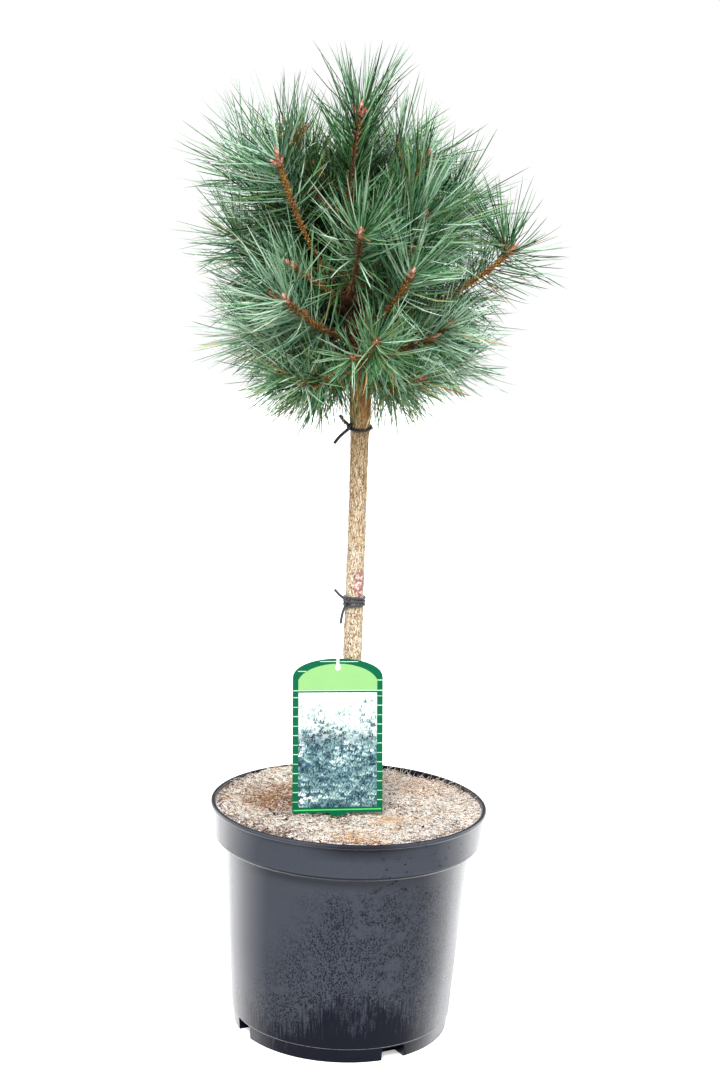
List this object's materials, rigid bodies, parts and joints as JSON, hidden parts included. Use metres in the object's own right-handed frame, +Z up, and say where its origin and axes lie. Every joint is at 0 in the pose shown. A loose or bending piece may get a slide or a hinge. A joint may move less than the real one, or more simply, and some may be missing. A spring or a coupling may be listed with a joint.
{
  "type": "potted watereri scots pine",
  "caption": "Dwarf Scots pine grafted on a clear stem, with a dense round blue-green needled crown, in a round dark nursery pot of potting mix with a plant label.",
  "frame": {"origin": "centre of the pot's flat underside", "axes": "+Z up along the stem, +X to the right and +Y away from a viewer who faces the plant label"},
  "size_m": [0.3462, 0.2985, 0.8707],
  "materials": {
    "pot_plastic": "semi-matte, dusty",
    "potting_mix": "rough, fibrous",
    "stem_bark": "rough flaking bark",
    "twig_bark": "rough, pegged",
    "needles": "waxy blue-green",
    "tie_cord": "satin",
    "label_card": "printed, glossy"
  },
  "bodies": {
    "root": {"bough_lower_1": "twig_bark", "bough_lower_2": "twig_bark", "bough_lower_3": "twig_bark", "bough_lower_4": "twig_bark", "bough_lower_5": "twig_bark", "bough_lower_6": "twig_bark", "bough_lower_7": "twig_bark", "bough_middle_1": "twig_bark", "bough_middle_2": "twig_bark", "bough_middle_3": "twig_bark", "bough_middle_4": "twig_bark", "bough_middle_5": "twig_bark", "bough_middle_6": "twig_bark", "bough_middle_7": "twig_bark", "bough_top_1": "twig_bark", "bough_top_2": "twig_bark", "bough_top_3": "twig_bark", "bough_top_4": "twig_bark", "bough_upper_1": "twig_bark", "bough_upper_2": "twig_bark", "bough_upper_3": "twig_bark", "bough_upper_4": "twig_bark", "bough_upper_5": "twig_bark", "bough_upper_6": "twig_bark", "bough_upper_7": "twig_bark", "bough_upper_8": "twig_bark", "needles_leader": "needles", "needles_lower_1": "needles", "needles_lower_2": "needles", "needles_lower_3": "needles", "needles_lower_4": "needles", "needles_lower_5": "needles", "needles_lower_6": "needles", "needles_lower_7": "needles", "needles_middle_1": "needles", "needles_middle_2": "needles", "needles_middle_3": "needles", "needles_middle_4": "needles", "needles_middle_5": "needles", "needles_middle_6": "needles", "needles_middle_7": "needles", "needles_top_1": "needles", "needles_top_2": "needles", "needles_top_3": "needles", "needles_top_4": "needles", "needles_upper_1": "needles", "needles_upper_2": "needles", "needles_upper_3": "needles", "needles_upper_4": "needles", "needles_upper_5": "needles", "needles_upper_6": "needles", "needles_upper_7": "needles", "needles_upper_8": "needles", "plant_label": "label_card", "pot": "pot_plastic", "soil": "potting_mix", "tie_lower": "tie_cord", "tie_upper": "tie_cord", "trunk": "stem_bark"}
  },
  "joints": []
}
